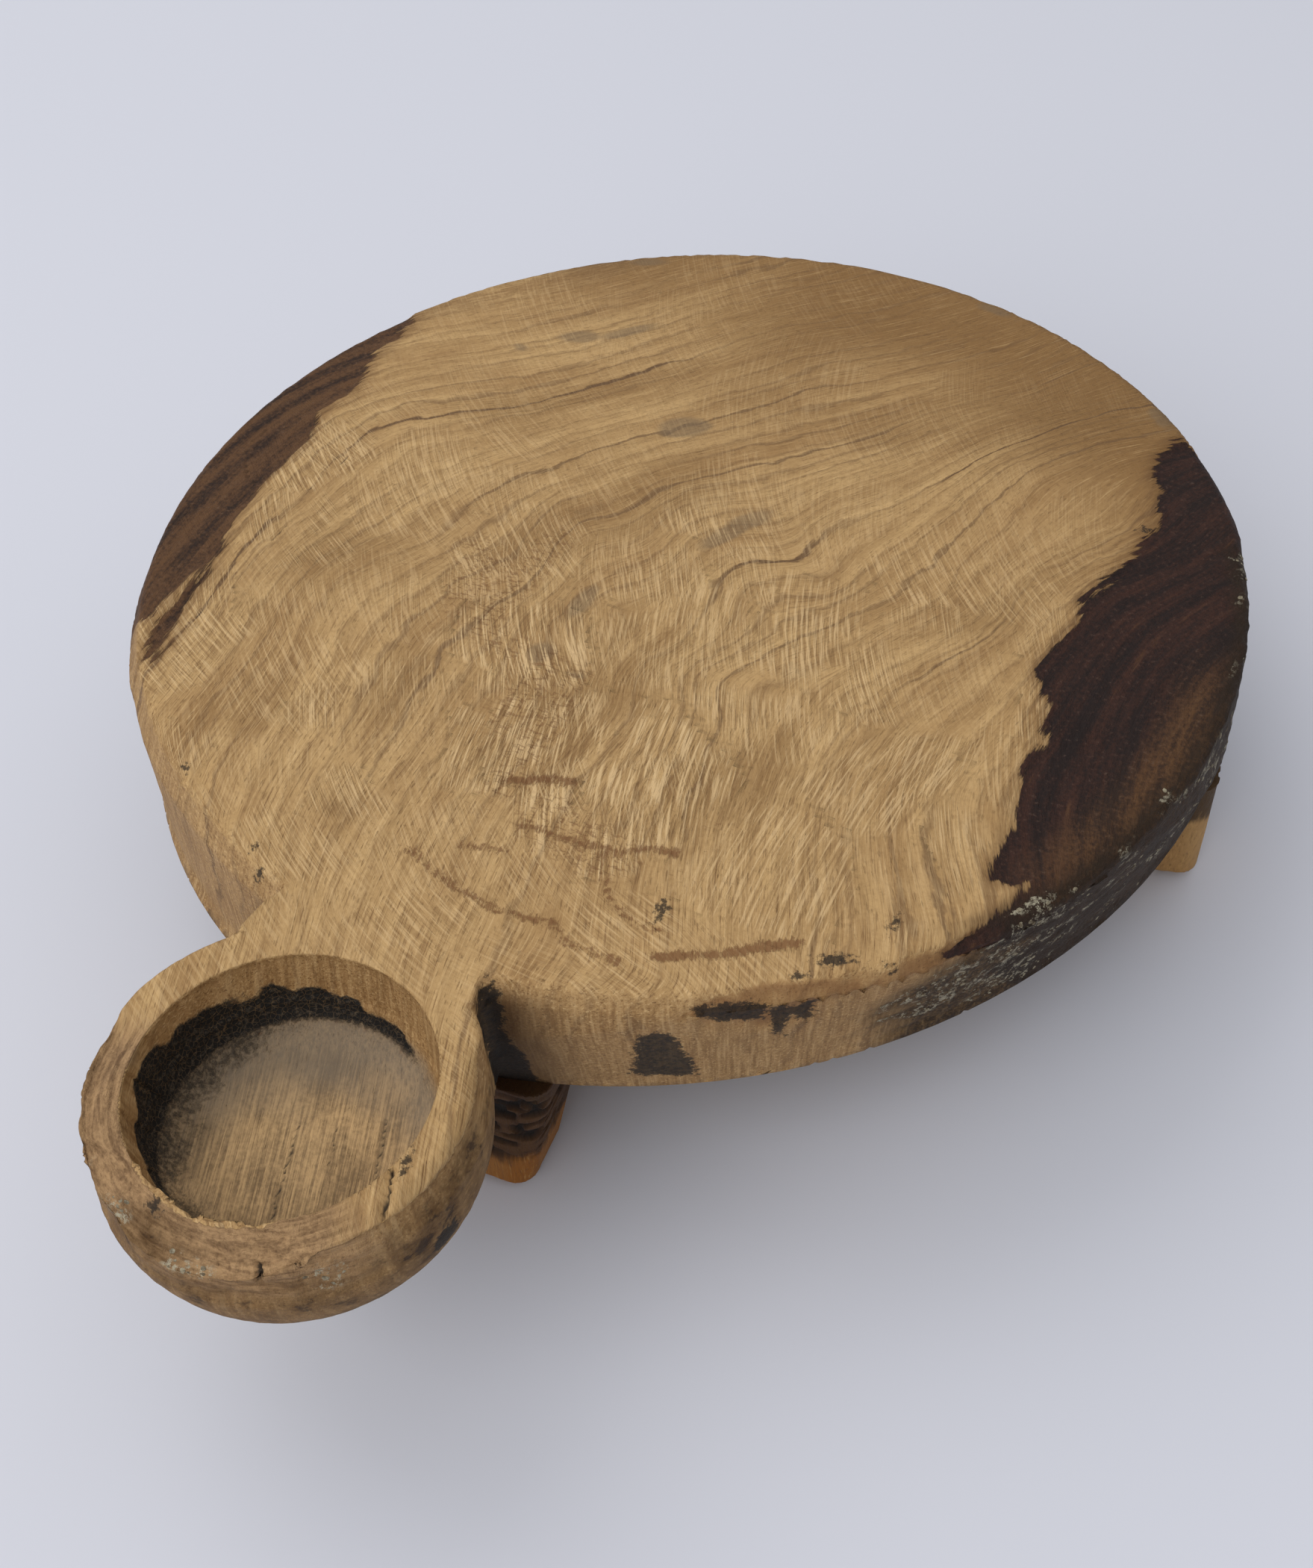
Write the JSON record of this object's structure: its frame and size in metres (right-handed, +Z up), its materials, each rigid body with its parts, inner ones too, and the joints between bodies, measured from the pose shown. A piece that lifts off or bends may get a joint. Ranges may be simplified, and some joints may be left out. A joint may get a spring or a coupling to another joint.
{
  "type": "chakla rolling board",
  "caption": "Round wooden rolling board on short tapered legs, with a small round flour bowl carved from the same block at its rim.",
  "frame": {"origin": "on the floor, under the middle of the whole outline", "axes": "+Z up out of the rolling face, -Y towards the flour bowl, +X to the right of someone facing the bowl's side"},
  "size_m": [0.2556, 0.3262, 0.078],
  "materials": {
    "board_with_bowl": "sanded bare hardwood, with old dark patina left in the low places",
    "front_leg": "dark, worm-eaten outer face on golden brown wood",
    "right_leg": "pale sanded hardwood",
    "back_leg": "sanded hardwood",
    "left_leg": "sanded hardwood"
  },
  "bodies": {
    "root": {"board_with_bowl": "board_with_bowl", "front_leg": "front_leg", "right_leg": "right_leg", "back_leg": "back_leg", "left_leg": "left_leg"}
  },
  "joints": []
}
